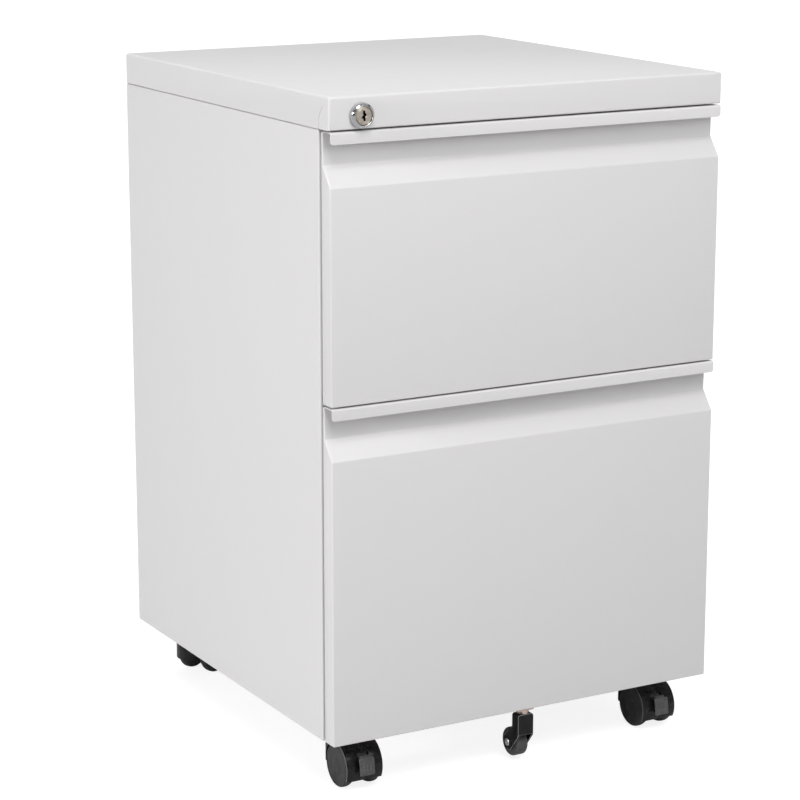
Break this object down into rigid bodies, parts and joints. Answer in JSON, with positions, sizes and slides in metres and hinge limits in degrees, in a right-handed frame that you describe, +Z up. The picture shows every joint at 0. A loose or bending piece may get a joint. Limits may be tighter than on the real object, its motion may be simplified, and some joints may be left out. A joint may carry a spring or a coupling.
{
  "type": "two-drawer filing pedestal",
  "caption": "White sheet-steel filing pedestal with a cam lock in its lid, full-width drawer pulls, ball-bearing slides and hooded twin-wheel castors.",
  "frame": {"origin": "on the floor, under the middle of the whole object's bounding box", "axes": "+X across the front towards the right-hand side as seen from the front, +Y from the drawer fronts towards the back, +Z up"},
  "size_m": [0.39, 0.414, 0.608],
  "materials": {
    "white_powder_coat": "fine-textured white powder coat, satin",
    "zinc_plated_steel": "bright zinc plating",
    "chrome": "polished chrome plating",
    "black_plastic": "moulded black nylon, low sheen",
    "black_painted_steel": "black electrocoat, semi-gloss"
  },
  "bodies": {
    "cabinet": {"top_cap": "white_powder_coat", "side_panel_left": "white_powder_coat", "side_panel_right": "white_powder_coat", "back_panel": "white_powder_coat", "base_panel": "white_powder_coat", "upright_left_front": "zinc_plated_steel", "upright_left_rear": "zinc_plated_steel", "upright_right_front": "zinc_plated_steel", "upright_right_rear": "zinc_plated_steel", "upper_slide_outer_left": "zinc_plated_steel", "upper_slide_outer_right": "zinc_plated_steel", "lower_slide_outer_left": "zinc_plated_steel", "lower_slide_outer_right": "zinc_plated_steel", "lock_housing": "chrome", "lock_nut": "zinc_plated_steel", "castor_front_left_stem": "zinc_plated_steel", "castor_front_right_stem": "zinc_plated_steel", "castor_rear_left_stem": "zinc_plated_steel", "castor_rear_right_stem": "zinc_plated_steel"},
    "upper_drawer": {"upper_drawer_front": "white_powder_coat", "upper_tray": "white_powder_coat", "upper_slide_inner_left": "zinc_plated_steel", "upper_slide_inner_right": "zinc_plated_steel", "upper_lock_catch": "zinc_plated_steel"},
    "upper_slide_middles": {"upper_slide_middle_left": "zinc_plated_steel", "upper_slide_middle_right": "zinc_plated_steel"},
    "lower_drawer": {"lower_drawer_front": "white_powder_coat", "lower_tray": "white_powder_coat", "lower_slide_inner_left": "zinc_plated_steel", "lower_slide_inner_right": "zinc_plated_steel", "lower_lock_catch": "zinc_plated_steel", "file_rail_left": "zinc_plated_steel", "file_rail_right": "zinc_plated_steel", "tip_castor_mount": "zinc_plated_steel"},
    "lower_slide_middles": {"lower_slide_middle_left": "zinc_plated_steel", "lower_slide_middle_right": "zinc_plated_steel"},
    "lock_cylinder": {"lock_plug": "chrome", "lock_cam": "zinc_plated_steel"},
    "lock_bar": {"lock_bar": "zinc_plated_steel"},
    "castor_front_left_swivel": {"castor_front_left_hood": "black_plastic", "castor_front_left_axle": "zinc_plated_steel"},
    "castor_front_left_wheel_left": {"castor_front_left_wheel_left": "black_plastic"},
    "castor_front_left_wheel_right": {"castor_front_left_wheel_right": "black_plastic"},
    "castor_front_left_brake": {"castor_front_left_brake_lever": "black_plastic"},
    "castor_front_right_swivel": {"castor_front_right_hood": "black_plastic", "castor_front_right_axle": "zinc_plated_steel"},
    "castor_front_right_wheel_left": {"castor_front_right_wheel_left": "black_plastic"},
    "castor_front_right_wheel_right": {"castor_front_right_wheel_right": "black_plastic"},
    "castor_front_right_brake": {"castor_front_right_brake_lever": "black_plastic"},
    "castor_rear_left_swivel": {"castor_rear_left_hood": "black_plastic", "castor_rear_left_axle": "zinc_plated_steel"},
    "castor_rear_left_wheel_left": {"castor_rear_left_wheel_left": "black_plastic"},
    "castor_rear_left_wheel_right": {"castor_rear_left_wheel_right": "black_plastic"},
    "castor_rear_right_swivel": {"castor_rear_right_hood": "black_plastic", "castor_rear_right_axle": "zinc_plated_steel"},
    "castor_rear_right_wheel_left": {"castor_rear_right_wheel_left": "black_plastic"},
    "castor_rear_right_wheel_right": {"castor_rear_right_wheel_right": "black_plastic"},
    "tip_castor_swivel": {"tip_castor_fork": "black_painted_steel", "tip_castor_axle": "zinc_plated_steel"},
    "tip_castor_wheel": {"tip_castor_wheel": "black_plastic"}
  },
  "joints": [
    {"name": "upper_drawer_slide", "type": "slide", "parent": "cabinet", "child": "upper_drawer", "axis": [0, -1, 0], "range_m": [0, 0.33]},
    {"name": "upper_middles_slide", "type": "slide", "parent": "cabinet", "child": "upper_slide_middles", "axis": [0, -1, 0], "range_m": [0, 0.165]},
    {"name": "lower_drawer_slide", "type": "slide", "parent": "cabinet", "child": "lower_drawer", "axis": [0, -1, 0], "range_m": [0, 0.33]},
    {"name": "lower_middles_slide", "type": "slide", "parent": "cabinet", "child": "lower_slide_middles", "axis": [0, -1, 0], "range_m": [0, 0.165]},
    {"name": "lock_turn", "type": "hinge", "parent": "cabinet", "child": "lock_cylinder", "pos_m": [-0.1654, -0.201, 0.5918], "axis": [0, 1, 0], "range_deg": [0, 90]},
    {"name": "lock_lift", "type": "slide", "parent": "cabinet", "child": "lock_bar", "axis": [0, 0, 1], "range_m": [0, 0.0099]},
    {"name": "castor_front_left_swivel", "type": "hinge", "parent": "cabinet", "child": "castor_front_left_swivel", "pos_m": [-0.155, -0.146, 0], "axis": [0, 0, 1], "continuous": true},
    {"name": "castor_front_left_wheel_left_roll", "type": "hinge", "parent": "castor_front_left_swivel", "child": "castor_front_left_wheel_left", "pos_m": [-0.155, -0.164, 0.0195], "axis": [1, 0, 0], "continuous": true},
    {"name": "castor_front_left_wheel_right_roll", "type": "hinge", "parent": "castor_front_left_swivel", "child": "castor_front_left_wheel_right", "pos_m": [-0.155, -0.164, 0.0195], "axis": [1, 0, 0], "continuous": true},
    {"name": "castor_front_left_brake_press", "type": "hinge", "parent": "castor_front_left_swivel", "child": "castor_front_left_brake", "pos_m": [-0.155, -0.176, 0.03], "axis": [1, 0, 0], "range_deg": [0, 12]},
    {"name": "castor_front_right_swivel", "type": "hinge", "parent": "cabinet", "child": "castor_front_right_swivel", "pos_m": [0.155, -0.146, 0], "axis": [0, 0, 1], "continuous": true},
    {"name": "castor_front_right_wheel_left_roll", "type": "hinge", "parent": "castor_front_right_swivel", "child": "castor_front_right_wheel_left", "pos_m": [0.155, -0.164, 0.0195], "axis": [1, 0, 0], "continuous": true},
    {"name": "castor_front_right_wheel_right_roll", "type": "hinge", "parent": "castor_front_right_swivel", "child": "castor_front_right_wheel_right", "pos_m": [0.155, -0.164, 0.0195], "axis": [1, 0, 0], "continuous": true},
    {"name": "castor_front_right_brake_press", "type": "hinge", "parent": "castor_front_right_swivel", "child": "castor_front_right_brake", "pos_m": [0.155, -0.176, 0.03], "axis": [1, 0, 0], "range_deg": [0, 12]},
    {"name": "castor_rear_left_swivel", "type": "hinge", "parent": "cabinet", "child": "castor_rear_left_swivel", "pos_m": [-0.155, 0.169, 0], "axis": [0, 0, 1], "continuous": true},
    {"name": "castor_rear_left_wheel_left_roll", "type": "hinge", "parent": "castor_rear_left_swivel", "child": "castor_rear_left_wheel_left", "pos_m": [-0.13911, 0.17745, 0.0195], "axis": [-0.4695, 0.8829, 0], "continuous": true},
    {"name": "castor_rear_left_wheel_right_roll", "type": "hinge", "parent": "castor_rear_left_swivel", "child": "castor_rear_left_wheel_right", "pos_m": [-0.13911, 0.17745, 0.0195], "axis": [-0.4695, 0.8829, 0], "continuous": true},
    {"name": "castor_rear_right_swivel", "type": "hinge", "parent": "cabinet", "child": "castor_rear_right_swivel", "pos_m": [0.155, 0.169, 0], "axis": [0, 0, 1], "continuous": true},
    {"name": "castor_rear_right_wheel_left_roll", "type": "hinge", "parent": "castor_rear_right_swivel", "child": "castor_rear_right_wheel_left", "pos_m": [0.13761, 0.17366, 0.0195], "axis": [-0.2588, -0.9659, 0], "continuous": true},
    {"name": "castor_rear_right_wheel_right_roll", "type": "hinge", "parent": "castor_rear_right_swivel", "child": "castor_rear_right_wheel_right", "pos_m": [0.13761, 0.17366, 0.0195], "axis": [-0.2588, -0.9659, 0], "continuous": true},
    {"name": "tip_castor_swivel", "type": "hinge", "parent": "lower_drawer", "child": "tip_castor_swivel", "pos_m": [0, -0.1946, 0], "axis": [0, 0, 1], "continuous": true},
    {"name": "tip_castor_wheel_roll", "type": "hinge", "parent": "tip_castor_swivel", "child": "tip_castor_wheel", "pos_m": [0, -0.1827, 0.017], "axis": [1, 0, 0], "continuous": true}
  ],
  "couplings": [
    {"joint": "upper_middles_slide", "follows": "upper_drawer_slide", "ratio": 0.5},
    {"joint": "lower_middles_slide", "follows": "lower_drawer_slide", "ratio": 0.5},
    {"joint": "lock_turn", "follows": "lock_lift", "rad_per_m": 158.66}
  ]
}
